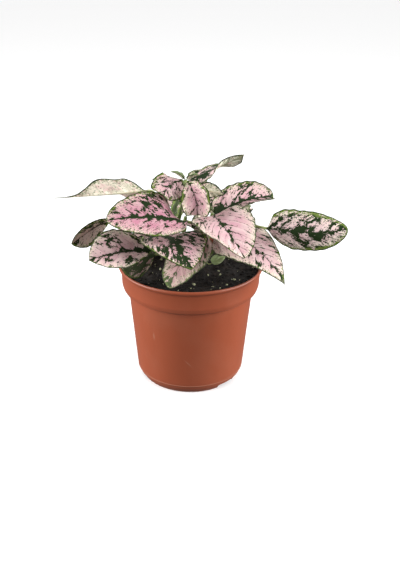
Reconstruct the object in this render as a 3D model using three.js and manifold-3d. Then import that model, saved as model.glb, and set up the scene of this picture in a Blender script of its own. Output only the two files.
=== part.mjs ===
// A potted polka dot plant: a thin nursery pot, its soil, five short stems and their waved, spotted leaves.
// Units are millimetres, +Z is up, and the origin is on the pot's axis at the height it stands on. -Y is the front.
import * as THREE from "three";
import { mergeVertices } from "three/addons/utils/BufferGeometryUtils.js";
import Module from "manifold-3d";

const wasm = await Module();
wasm.setup();

// ---- Driving dimensions ----

const CLEAR = 0.3; // gap between pieces that touch on the real plant

const POT = {
  height: 89,
  wall: 1.2,
  rimRadius: 52.5, // over the lip
  lipHeight: 2.6,
  collarTop: 50.6, // radius just under the lip
  collarFoot: 50,
  collarFootZ: 74.2,
  shoulderRadius: 48.9,
  shoulderZ: 70.8,
  waist: 45.3, // radius where the body starts under the shoulder
  waistZ: 68.7,
  bodyFoot: 39.6,
  bodyFootZ: 8.2,
  footRadius: 38.7,
  footZ: 5,
  footBottom: 35.4,
  footInner: 32.8,
  recess: 3.6, // height of the floor's underside
  sides: 48,
};
const NOTCH = { azimuths: [-42, 78, 198], width: 17, height: 3.6 }; // gaps in the foot ring
const DRAIN = { count: 6, radius: 3.5, fromAxis: 25, sides: 10 };

const SOIL = { edge: 83.6, crown: 85.4, bump: 0.6, rings: 7 };

const STEM = { radius: 1.75, tipRadius: 1.2, swelling: 0.35, sides: 8, steps: 10 };

// Stems by letter: the four control points of a cubic Bezier from inside the soil to the growing tip.
const STEMS = {
  a: [[-13, 1, 58], [-12, 2, 96], [-10, 4, 122], [-4, 5, 149]],
  b: [[4, 1, 58], [8, 1, 84], [12, 1, 106], [15, 1, 126]],
  c: [[-7, 0, 58], [-7, 2, 84], [-6, 3, 106], [-4, -2, 124]],
  d: [[-9, 12, 58], [-11, 14, 86], [-19, 19, 104], [-25, 22, 123]],
  e: [[7, 12, 58], [9, 15, 86], [12, 19, 104], [16, 20, 118]],
};

const LEAF = {
  thickness: 0.75,
  ribHeight: 0.9, // extra thickness along the midrib at the blade's base
  stalkRadius: 0.95,
  stalkSteps: 4,
  halfColumns: 2, // columns of faces each side of the midrib
  // stations along the blade, closer together at its rounded base and at its tip
  stations: [0, 0.04, 0.12, 0.23, 0.36, 0.5, 0.64, 0.78, 0.91, 1],
};

// What a leaf has unless its row says otherwise. Angles are in degrees.
const USUAL = {
  turn: 0, // change of heading from base to tip
  roll: 0, // tilt about the midrib: above 0 its left edge is up
  twist: 0, // change of roll from base to tip
  fold: [10, 10], // how far the left and right halves rise from flat
  baseFold: null, // the same at the base, where it differs
  cup: 0, // further bend of each half towards its edge
  widest: 0.38, // how far along the blade it is widest
  taper: 0.8, // above 1 gives a drawn-out tip
  wave: 0.8, // height of the waved edge in mm
  waves: 3,
  phase: 0, // where on its swing the wave starts
  lift: 0.6, // how steeply its stalk leaves the stem
  halfColumns: LEAF.halfColumns,
  stations: LEAF.stations,
  stalkSteps: LEAF.stalkSteps,
};

// One row a leaf: its stem, how far up that stem it grows (0 to 1), where its blade starts, the blade's length
// and width in mm, its heading (0 is +X, 90 is +Y), its climb at the base and how far that changes by the tip.
const LEAVES = {
  leaf_crown_front: { stem: "a", node: 0.96, neck: [-2.5, 1.1, 149], length: 29, width: 25, heading: 296,
    rise: -9, droop: -87, roll: 10, twist: 11, fold: [33, 12], cup: 25, widest: 0.64, taper: 0.56,
    wave: 1.5, phase: -100 },
  leaf_crown_left: { stem: "a", node: 0.96, neck: [-7.5, 5.8, 148.9], length: 25, width: 27, heading: 227,
    turn: 31, rise: -1, droop: -16, roll: -37, twist: -9, fold: [-1, -26], cup: 4, widest: 0.42,
    taper: 0.44, wave: 2.5, waves: 2.5, phase: 109 },
  leaf_crown_narrow: { stem: "a", node: 0.9, neck: [-8.1, 4.4, 137.7], length: 18.5, width: 10.5,
    heading: 184, turn: 4, rise: -70, droop: -16, roll: -6, twist: 9, fold: [-14, 54], cup: -39,
    widest: 0.53, taper: 0.4, wave: 0.1, waves: 2.4, phase: -150 },
  leaf_crown_right: { stem: "a", node: 0.98, neck: [-2.5, 11, 145.6], length: 48.5, width: 27.5,
    heading: 21, turn: -70, rise: 26, droop: 6, roll: -16, twist: -87, fold: [36, -65], cup: 16,
    taper: 1.18, wave: 1.8, waves: 2.5, phase: 77 },
  leaf_crown_pale: { stem: "a", node: 0.9, neck: [5, -0.8, 144.8], length: 18, width: 12, heading: 6,
    rise: -10, droop: -10, roll: -85, wave: 0.4 },
  leaf_crown_back: { stem: "a", node: 0.68, neck: [-7, 12, 122], length: 46, width: 29,
    heading: 92, rise: 25, droop: -95, roll: 6, fold: [12, 12] },
  leaf_right_upper: { stem: "b", node: 0.94, neck: [16.5, 1.8, 123.6], length: 54.5, width: 28.5,
    heading: 36, turn: -3, rise: 24, droop: -41, roll: 25, twist: 9, fold: [30, 27], cup: 28, widest: 0.4,
    taper: 0.51, wave: 0.3, waves: 2.7, phase: 156 },
  leaf_right_front: { stem: "b", node: 0.88, neck: [15.9, -3.3, 125.7], length: 52.5, width: 43.5,
    heading: 285, turn: 19, rise: 9, droop: -47, roll: 12, twist: -25, fold: [19, 15], cup: -6, taper: 0.64,
    wave: 0.7, waves: 2.5, phase: -7 },
  leaf_right_small: { stem: "b", node: 0.8, neck: [13.8, -4.3, 119.8], length: 17, width: 17, heading: 218,
    rise: 25, droop: -40, roll: -26, wave: 0.6 },
  leaf_right_cream: { stem: "b", node: 0.84, neck: [25.2, 9.3, 121.9], length: 22.5, width: 18, heading: 37,
    turn: -5, rise: 22, droop: -30, roll: -3, twist: -1, fold: [10, -7], cup: -15, widest: 0.25,
    taper: 0.74, wave: 1, waves: 3.2, phase: 19 },
  leaf_far_right: { stem: "b", node: 0.85, lift: 0.5, neck: [51.7, -24.3, 125.1], length: 55.5, width: 31,
    heading: 340, turn: 12, rise: -4, droop: 19, roll: 115, twist: -52, fold: [-18, -4], cup: -18,
    taper: 0.55, wave: 1.1, waves: 2, phase: 132 },
  leaf_right_lower: { stem: "b", node: 0.74, neck: [17.3, -8, 116.6], length: 69.5, width: 39.5,
    heading: 324, turn: -16, rise: 7, droop: -50, roll: 28, twist: -27, fold: [1, 1], baseFold: [-14, -4],
    cup: -12, widest: 0.29, taper: 1.04, wave: 0.5, phase: -45 },
  leaf_front_low: { stem: "b", node: 0.6, neck: [10.8, -6.5, 114.3], length: 55.5, width: 31.5,
    heading: 237, turn: 5, rise: -5, droop: -42, roll: -39, twist: -23, fold: [-5, -65], cup: 10,
    widest: 0.35, taper: 0.63, wave: 1.7, phase: -48 },
  leaf_front_seedling: { stem: "b", node: 0.47, neck: [15, -14, 94], length: 11, width: 8,
    heading: 22, rise: 30, droop: -20, roll: 30, wave: 0.2 },
  leaf_left_big: { stem: "c", node: 0.93, neck: [-2, -18, 126.6], length: 57.5, width: 38.5, heading: 193,
    turn: 7, rise: 17, droop: -21, roll: -34, twist: -10, fold: [20, 15], baseFold: [32, -51], cup: -5,
    widest: 0.36, taper: 0.61, waves: 2.7, phase: 166 },
  leaf_front_centre: { stem: "c", node: 0.82, neck: [-17, -9.4, 112], length: 52.5, width: 47, heading: 281,
    turn: 21, rise: 24, droop: -58, roll: 42, twist: -10, fold: [-28, 48], cup: -9, widest: 0.39, wave: 1,
    waves: 2, phase: -64 },
  leaf_left_front: { stem: "c", node: 0.7, neck: [-24.9, -19.2, 105.2], length: 50.5, width: 33.5,
    heading: 205, turn: 14, rise: 12, droop: -15, roll: -55, twist: 8, fold: [41, 31], cup: -11,
    widest: 0.63, taper: 0.64, wave: 0.5, waves: 3.6, phase: -112 },
  leaf_left_rim: { stem: "c", node: 0.6, neck: [-24.8, -18.8, 102.1], length: 29.5, width: 31, heading: 208,
    turn: 11, rise: 5, droop: -1, roll: -53, twist: 9, fold: [-26, -9], cup: -16, widest: 0.5, taper: 0.72,
    wave: 0.4, waves: 2.5, phase: -93 },
  leaf_far_left: { stem: "d", node: 0.9, neck: [-32.4, 40.1, 128.7], length: 74.8, width: 26.5,
    heading: 171.5, turn: -2, rise: -9, droop: 1, roll: 69.5, twist: -67, fold: [57, 23], cup: -4,
    widest: 0.37, taper: 3.1, wave: 2.6, waves: 2.2 },
  leaf_left_small: { stem: "d", node: 0.8, neck: [-57.4, 6.4, 117.9], length: 39, width: 21, heading: 238,
    turn: -20, rise: 5, droop: -32, roll: -71, twist: 7, fold: [-5, 66], cup: -26, widest: 0.62,
    taper: 0.71, wave: 0.1, waves: 5.2, phase: -133 },
  leaf_back_left: { stem: "d", node: 0.72, neck: [-26, 22, 110], length: 44, width: 34,
    heading: 152, rise: 10, droop: -75, roll: -12 },
  leaf_back_left_low: { stem: "d", node: 0.55, neck: [-24, 12, 97], length: 42, width: 30,
    heading: 188, rise: 5, droop: -50, roll: -10, fold: [12, 12] },
  leaf_back_low: { stem: "d", node: 0.62, neck: [-14, 26, 101], length: 42, width: 31,
    heading: 134, rise: 0, droop: -60 },
  leaf_back_right: { stem: "e", node: 0.95, neck: [20, 24, 117], length: 42, width: 34, heading: 58,
    rise: 20, droop: -80, roll: 8 },
  leaf_back: { stem: "e", node: 0.76, neck: [7, 24, 104], length: 41, width: 31, heading: 84, rise: 5,
    droop: -70, roll: -5 },
  leaf_back_right_low: { stem: "e", node: 0.7, neck: [24, 14, 102], length: 42, width: 28,
    heading: 12, rise: 5, droop: -50, roll: 10 },
};

// Pairs of folded young leaves at the growing tips, joined to their stems.
const BUD = { length: 11, width: 5, rise: 40, droop: -30, fold: [35, 35], taper: 1, wave: 0.2,
  halfColumns: 1, stations: [0, 0.1, 0.4, 0.7, 1], stalkSteps: 2 };
const BUD_HEADINGS = { a: [172, 330], b: [155, 235], c: [20, 65], d: [215, 265], e: [140, 240] };

// ---- Materials ----

const finish = (color, roughness) => new THREE.MeshStandardMaterial({ color, roughness, metalness: 0 });
const TERRACOTTA_PLASTIC = finish(0xa9583b, 0.45);
const POTTING_SOIL = finish(0x241d1a, 0.95);
const GREEN_STEM = finish(0x7d8f52, 0.6);
const PINK_LEAF = finish(0xd9a8b4, 0.55);

// ---- Small helpers ----

const rad = THREE.MathUtils.degToRad;
const vec = (p) => new THREE.Vector3(...p);
const ease = (x) => THREE.MathUtils.smoothstep(x, 0, 1);
const bezier = (p) => new THREE.CubicBezierCurve3(...p.map((q) => (q.isVector3 ? q : vec(q))));

function toSolid(geometry) {
  const bare = new THREE.BufferGeometry().setAttribute("position", geometry.getAttribute("position"));
  bare.setIndex(geometry.index);
  const merged = mergeVertices(bare, 1e-4);
  return new wasm.Manifold(new wasm.Mesh({
    numProp: 3,
    vertProperties: new Float32Array(merged.attributes.position.array),
    triVerts: new Uint32Array(merged.index.array),
  }));
}

function toGeometry(solid) {
  const mesh = solid.getMesh();
  const geometry = new THREE.BufferGeometry();
  geometry.setAttribute("position", new THREE.BufferAttribute(new Float32Array(mesh.vertProperties), 3));
  geometry.setIndex(new THREE.BufferAttribute(mesh.triVerts, 1));
  geometry.computeVertexNormals();
  return geometry;
}

const largestBody = (solid) => solid.decompose().reduce((a, b) => (b.volume() > a.volume() ? b : a));

// A closed skin over rings of points: ring k is a loop that runs counter-clockwise seen from the ring after it.
// slant(j) says which way the faces of column j are split.
function skin(rings, slant = () => false) {
  const n = rings[0].length;
  const points = [...rings.flat(), centre(rings[0]), centre(rings.at(-1))];
  const first = points.length - 2;
  const faces = [];
  for (let k = 0; k + 1 < rings.length; k++) {
    for (let j = 0; j < n; j++) {
      const [a, b] = [k * n + j, k * n + ((j + 1) % n)];
      const [c, d] = [b + n, a + n];
      if (slant(j)) faces.push(a, b, d, b, c, d);
      else faces.push(a, b, c, a, c, d);
    }
  }
  const last = (rings.length - 1) * n;
  for (let j = 0; j < n; j++) {
    const next = (j + 1) % n;
    faces.push(first, next, j, first + 1, last + j, last + next);
  }
  const geometry = new THREE.BufferGeometry();
  geometry.setAttribute("position", new THREE.Float32BufferAttribute(points.flatMap((p) => p.toArray()), 3));
  geometry.setIndex(faces);
  return geometry;
}

function centre(ring) {
  return ring.reduce((sum, p) => sum.add(p), new THREE.Vector3()).divideScalar(ring.length);
}

// ---- Pot ----

// The outer wall from the foot up, as [radius, height].
function outerWall(pot) {
  return [
    [pot.footBottom, 0],
    [pot.footRadius, pot.footZ],
    [pot.bodyFoot, pot.bodyFootZ],
    [pot.waist, pot.waistZ],
    [pot.shoulderRadius, pot.shoulderZ],
    [pot.collarFoot, pot.collarFootZ],
    [pot.collarTop, pot.height - pot.lipHeight - 0.9],
    [pot.rimRadius - 0.5, pot.height - pot.lipHeight],
    [pot.rimRadius, pot.height - pot.lipHeight / 2],
    [pot.rimRadius - 0.4, pot.height],
  ];
}

// The inner wall from the floor up, one wall's thickness inside the outer one.
function innerWall(pot, gap = 0) {
  const inset = pot.wall + gap;
  return [
    [pot.footRadius - inset, pot.recess + 1.5 + gap],
    [pot.bodyFoot - inset, pot.bodyFootZ + 0.6],
    [pot.waist - inset, pot.waistZ + 0.7],
    [pot.shoulderRadius - inset, pot.shoulderZ + 0.7],
    [pot.collarFoot - inset, pot.collarFootZ + 0.3],
    [pot.collarTop - inset, pot.height - pot.lipHeight],
    [pot.rimRadius - 1.5 - gap, pot.height],
  ];
}

function lathe(profile, sides) {
  const geometry = new THREE.LatheGeometry(profile.map((p) => new THREE.Vector2(...p)), sides);
  return toSolid(geometry.rotateX(Math.PI / 2));
}

function potSolid() {
  const inner = innerWall(POT);
  const profile = [
    [0, POT.recess],
    [POT.footInner, POT.recess],
    [POT.footInner, 0],
    ...outerWall(POT),
    ...inner.toReversed(),
    [0, inner[0][1]],
  ];
  let solid = lathe(profile, POT.sides);
  for (const azimuth of NOTCH.azimuths) {
    const notch = new THREE.BoxGeometry(16, NOTCH.width, 2 * NOTCH.height);
    notch.translate(POT.footBottom, 0, 0).rotateZ(rad(azimuth));
    solid = solid.subtract(toSolid(notch));
  }
  for (let i = 0; i < DRAIN.count; i++) {
    const drain = new THREE.CylinderGeometry(DRAIN.radius, DRAIN.radius, 8, DRAIN.sides).rotateX(Math.PI / 2);
    drain.translate(DRAIN.fromAxis, 0, POT.recess + 1).rotateZ((2 * Math.PI * i) / DRAIN.count);
    solid = solid.subtract(toSolid(drain));
  }
  return solid;
}

// ---- Soil ----

// Height of the soil's surface: a low crown with uneven lumps that fade out towards the pot's wall.
function soilHeight(r, angle, reach) {
  const across = r / reach;
  const lumps = Math.sin(0.31 * r + 3 * angle) + Math.sin(0.57 * r - 5 * angle + 1) * Math.cos(2 * angle);
  return SOIL.edge + (SOIL.crown - SOIL.edge) * (1 - across ** 2) + SOIL.bump * lumps * (1 - across ** 4);
}

function soilSolid(stemSolids) {
  const wall = innerWall(POT, CLEAR);
  const below = wall.filter(([, z]) => z < SOIL.edge);
  const [r0, z0] = below.at(-1);
  const [r1, z1] = wall[below.length];
  const reach = r0 + ((r1 - r0) * (SOIL.edge - z0)) / (z1 - z0);
  const circle = (r, height) =>
    Array.from({ length: POT.sides }, (_, i) => {
      const angle = (2 * Math.PI * i) / POT.sides;
      return new THREE.Vector3(r * Math.cos(angle), r * Math.sin(angle), height(r, angle));
    });
  const sides = below.map(([r, z]) => circle(r, () => z));
  const top = Array.from({ length: SOIL.rings }, (_, i) =>
    circle(reach * (1 - i / SOIL.rings), (r, angle) => soilHeight(r, angle, reach)));
  let solid = toSolid(skin([...sides, ...top]));
  for (const stem of stemSolids) solid = solid.subtract(stem);
  return solid;
}

// ---- Stems ----

// A round stem along its Bezier, thinner towards the tip and swollen where leaves grow, fattened by extra.
function stemSolid(letter, extra = 0) {
  const path = bezier(STEMS[letter]);
  const nodes = Object.values(LEAVES).filter((leaf) => leaf.stem === letter).map((leaf) => leaf.node);
  const rings = Array.from({ length: STEM.steps + 1 }, (_, k) => {
    const t = k / STEM.steps;
    const at = path.getPoint(t);
    const along = path.getTangent(t);
    const side = new THREE.Vector3(0, 1, 0).cross(along).normalize();
    const other = along.clone().cross(side);
    const near = nodes.some((node) => Math.abs(node - t) < 0.5 / STEM.steps);
    const radius = THREE.MathUtils.lerp(STEM.radius, STEM.tipRadius, t) + (near ? STEM.swelling : 0) + extra;
    if (extra && k === 0) at.addScaledVector(along, -extra);
    if (extra && k === STEM.steps) at.addScaledVector(along, extra);
    return Array.from({ length: STEM.sides }, (_, j) => {
      const angle = (2 * Math.PI * j) / STEM.sides;
      return at.clone().addScaledVector(side, radius * Math.cos(angle))
        .addScaledVector(other, radius * Math.sin(angle));
    });
  });
  return toSolid(skin(rings));
}

function buddedStem(letter) {
  const [tip, along] = [bezier(STEMS[letter]).getPoint(1), bezier(STEMS[letter]).getTangent(1)];
  const buds = BUD_HEADINGS[letter].map((heading) => {
    const row = { ...USUAL, ...BUD, heading };
    const neck = tip.clone().addScaledVector(along, 0.4).addScaledVector(bladeDirection(row, 0), 1.2);
    return toSolid(leafSkin({ ...row, neck: neck.toArray() }, tip.clone().addScaledVector(along, -1)));
  });
  return buds.reduce((solid, bud) => solid.add(bud), stemSolid(letter));
}

// ---- Leaves ----

// Direction of the midrib at s (0 at the base, 1 at the tip): its heading and climb both change evenly along it.
function bladeDirection(row, s) {
  const heading = rad(row.heading + row.turn * s);
  const climb = rad(row.rise + row.droop * s);
  return new THREE.Vector3(
    Math.cos(climb) * Math.cos(heading), Math.cos(climb) * Math.sin(heading), Math.sin(climb));
}

// Points along the midrib, one for each station: the sum of small steps along its direction.
function midribPoints(row, stations) {
  const steps = 96;
  const at = vec(row.neck);
  const sums = [at.clone()];
  for (let i = 0; i < steps; i++) {
    at.addScaledVector(bladeDirection(row, (i + 0.5) / steps), row.length / steps);
    sums.push(at.clone());
  }
  return stations.map((s) => {
    const i = Math.min(Math.floor(s * steps), steps - 1);
    return sums[i].clone().lerp(sums[i + 1], s * steps - i);
  });
}

// The blade's half width at s: s^a (1 - s)^b, scaled to 1 where the blade is widest.
function outline(row, s) {
  const b = row.taper;
  const a = (b * row.widest) / (1 - row.widest);
  return (s ** a * (1 - s) ** b) / (row.widest ** a * (1 - row.widest) ** b);
}

const halfWidth = (row, s) => Math.max((row.width / 2) * outline(row, s), 0.45);

// How steeply the left half (0) or the right half (1) leaves the midrib, in radians.
function foldOf(row, s, half) {
  const base = (row.baseFold ?? row.fold)[half];
  return rad(THREE.MathUtils.lerp(base, row.fold[half], ease((s - 0.05) / 0.3)));
}

// Where a point of the blade lies across the midrib, as [sideways, upwards]. q runs from -1, the right edge, to
// 1, the left one. Each half rises by its fold, bends by the cup and carries the wave of its edge.
function crossSection(row, s, q) {
  const reach = Math.abs(q);
  const width = halfWidth(row, s);
  const fold = foldOf(row, s, q > 0 ? 0 : 1);
  const cup = rad(row.cup) || 1e-4;
  const sideways = ((Math.sin(fold + cup * reach) - Math.sin(fold)) / cup) * width * Math.sign(q);
  const lift = ((Math.cos(fold) - Math.cos(fold + cup * reach)) / cup) * width;
  const swing = 2 * Math.PI * row.waves * s + rad(row.phase) + (q > 0 ? 0 : 1.9);
  return [sideways, lift + row.wave * reach ** 1.6 * outline(row, s) * Math.sin(swing)];
}

// Which way the blade's thickness is laid off at q: square to its half, and on the midrib between the two halves
// and longer, so that both keep their full thickness. Where the blade is a narrow point it is straight up.
function thicknessWay(row, s, q) {
  const fade = Math.min(1, halfWidth(row, s) / 3);
  const [left, right] = [0, 1].map((half) => (foldOf(row, s, half) + rad(row.cup) * Math.abs(q)) * fade);
  if (q > 0) return [-Math.sin(left), Math.cos(left)];
  if (q < 0) return [Math.sin(right), Math.cos(right)];
  const longer = 1 / (1 + Math.cos(left + right));
  return [(Math.sin(right) - Math.sin(left)) * longer, (Math.cos(left) + Math.cos(right)) * longer];
}

// One closed skin for a leaf: a round stalk from its node that flattens into the waved blade.
function leafSkin(row, root) {
  const columns = 2 * row.halfColumns;
  const across = Array.from({ length: columns + 1 }, (_, j) => 1 - (2 * j) / columns);
  const neck = vec(row.neck);
  const first = bladeDirection(row, 0);
  const reach = root.distanceTo(neck) / 3;
  const stalk = bezier([root, root.clone().add(stalkStart(row, root, reach)),
    neck.clone().addScaledVector(first, -reach), neck]);
  const ring = (at, along, roll, section, thickness, way) => {
    const level = new THREE.Vector3(0, 0, 1).cross(along).setZ(0).normalize();
    const up = along.clone().cross(level);
    const side = level.clone().multiplyScalar(Math.cos(roll)).addScaledVector(up, Math.sin(roll));
    const normal = up.clone().multiplyScalar(Math.cos(roll)).addScaledVector(level, -Math.sin(roll));
    const place = (q, face) => {
      const [[x, z], [dx, dz]] = [section(q), way(q)];
      const off = (face * thickness(q)) / 2;
      return at.clone().addScaledVector(side, x + dx * off).addScaledVector(normal, z + dz * off);
    };
    return [...across.map((q) => place(q, 1)), ...across.map((q) => place(q, -1)).toReversed()];
  };
  const rings = [];
  for (let k = 0; k < row.stalkSteps; k++) {
    const t = k / row.stalkSteps;
    rings.push(ring(stalk.getPoint(t), stalk.getTangent(t), rad(row.roll) * t,
      (q) => [LEAF.stalkRadius * 0.95 * q, 0],
      (q) => 2 * LEAF.stalkRadius * Math.sqrt(Math.max(1 - q * q, 0.12)),
      () => [0, 1]));
  }
  midribPoints(row, row.stations).forEach((at, k) => {
    const s = row.stations[k];
    rings.push(ring(at, bladeDirection(row, s), rad(row.roll + row.twist * s),
      (q) => crossSection(row, s, q),
      (q) => LEAF.thickness + LEAF.ribHeight * (1 - s) * (1 - Math.abs(q)) ** 6,
      (q) => thicknessWay(row, s, q)));
  });
  // The upper and the lower face of a half blade are split along the same diagonals, forwards from the midrib.
  const h = row.halfColumns;
  return skin(rings, (j) => j < h || (j > 2 * h && j <= 3 * h));
}

// A stalk leaves its stem outwards and upwards.
function stalkStart(row, root, reach) {
  const out = vec(row.neck).sub(root);
  const level = Math.hypot(out.x, out.y) || 1;
  return new THREE.Vector3(out.x / level, out.y / level, row.lift).normalize().multiplyScalar(reach);
}

function leafSolid(row, fatStems) {
  const root = bezier(STEMS[row.stem]).getPoint(row.node);
  let solid = toSolid(leafSkin(row, root));
  for (const stem of fatStems) solid = solid.subtract(stem);
  return largestBody(solid);
}

// ---- Assembly ----

const plant = new THREE.Group();

function addPiece(name, solid, material) {
  const mesh = new THREE.Mesh(toGeometry(solid), material);
  mesh.name = name;
  plant.add(mesh);
}

const letters = Object.keys(STEMS);
const fatStems = letters.map((letter) => stemSolid(letter, CLEAR));
addPiece("pot", potSolid(), TERRACOTTA_PLASTIC);
addPiece("soil", soilSolid(fatStems), POTTING_SOIL);
for (const letter of letters) addPiece("stem_" + letter, buddedStem(letter), GREEN_STEM);
for (const [name, own] of Object.entries(LEAVES)) {
  addPiece(name, leafSolid({ ...USUAL, ...own }, fatStems), PINK_LEAF);
}

export default plant;
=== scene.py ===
"""A potted polka dot plant: waved, spotted leaves on short stems, loose soil and a thin nursery pot."""
from functools import partial, partialmethod
from itertools import combinations

import bpy
import numpy as np
from bpy.props import FloatProperty, FloatVectorProperty, IntProperty, PointerProperty
from bpy.types import Operator, Panel, PropertyGroup
from mathutils import Matrix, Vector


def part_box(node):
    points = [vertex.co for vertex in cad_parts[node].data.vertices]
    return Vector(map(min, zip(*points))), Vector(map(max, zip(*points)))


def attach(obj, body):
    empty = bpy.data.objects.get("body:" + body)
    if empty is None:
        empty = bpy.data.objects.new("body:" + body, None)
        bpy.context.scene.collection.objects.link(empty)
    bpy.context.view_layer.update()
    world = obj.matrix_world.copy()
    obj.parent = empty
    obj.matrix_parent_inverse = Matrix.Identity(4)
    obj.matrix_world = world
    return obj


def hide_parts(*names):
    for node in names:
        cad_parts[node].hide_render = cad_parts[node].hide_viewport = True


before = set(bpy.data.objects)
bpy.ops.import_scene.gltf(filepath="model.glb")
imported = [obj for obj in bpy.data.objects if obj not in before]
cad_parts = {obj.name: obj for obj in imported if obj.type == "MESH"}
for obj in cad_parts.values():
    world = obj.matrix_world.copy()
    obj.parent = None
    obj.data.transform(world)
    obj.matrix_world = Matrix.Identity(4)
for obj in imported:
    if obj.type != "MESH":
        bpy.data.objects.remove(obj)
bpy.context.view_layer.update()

bl_info = {
    "name": "Potted polka dot plant",
    "version": (1, 0, 0),
    "blender": (4, 5, 0),
    "location": "3D View > Sidebar > Plant",
    "description": "Makes a polka dot plant: its pot, soil, stems and spotted leaves, and a plain studio",
    "category": "Add Mesh",
}

MM = 0.001  # sizes below are in millimetres, and meshes are in metres
SEED = 41

# ---- The plant's growth: the same rows as the solids have ----

# Stems by letter: the four control points of a cubic Bezier from inside the soil to the growing tip.
STEMS = {
    "a": ((-13, 1, 58), (-12, 2, 96), (-10, 4, 122), (-4, 5, 149)),
    "b": ((4, 1, 58), (8, 1, 84), (12, 1, 106), (15, 1, 126)),
    "c": ((-7, 0, 58), (-7, 2, 84), (-6, 3, 106), (-4, -2, 124)),
    "d": ((-9, 12, 58), (-11, 14, 86), (-19, 19, 104), (-25, 22, 123)),
    "e": ((7, 12, 58), (9, 15, 86), (12, 19, 104), (16, 20, 118)),
}
STEM_RADIUS = 1.75
STEM_TIP_RADIUS = 1.2
STEM_SWELLING = 0.4  # at the nodes, where leaves grow
STEM_RINGS = 90
STEM_SIDES = 20

# What a leaf has unless its row says otherwise. Angles are in degrees.
USUAL = dict(
    turn=0,  # change of heading from base to tip
    roll=0,  # tilt about the midrib: above 0 its left edge is up
    twist=0,  # change of roll from base to tip
    fold=(10, 10),  # how far the left and right halves rise from flat
    base_fold=None,  # the same at the base, where it differs
    cup=0,  # further bend of each half towards its edge
    widest=0.38,  # how far along the blade it is widest
    taper=0.8,  # above 1 gives a drawn-out tip
    wave=0.8,  # height of the waved edge
    waves=3,
    phase=0,  # where on its swing the wave starts
    lift=0.6,  # how steeply its stalk leaves the stem
)


def grown(stem, node, neck, length, width, heading, rise, droop, dress, **own):
    """One leaf: its stem, how far up that stem it grows (0 to 1), where its blade starts, the blade's length
    and width, its heading (0 is +X, 90 is +Y), its climb at the base and how far that changes by the tip. Its
    dress is the share of green, how deep its pink is, how bold the green is along the midrib, along the side
    veins and at the edge, how far it is a plain pale green all over, and the seed of its pattern."""
    return dict(USUAL, stem=stem, node=node, neck=neck, length=length, width=width, heading=heading, rise=rise,
                droop=droop, dress=dress, **own)


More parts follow.
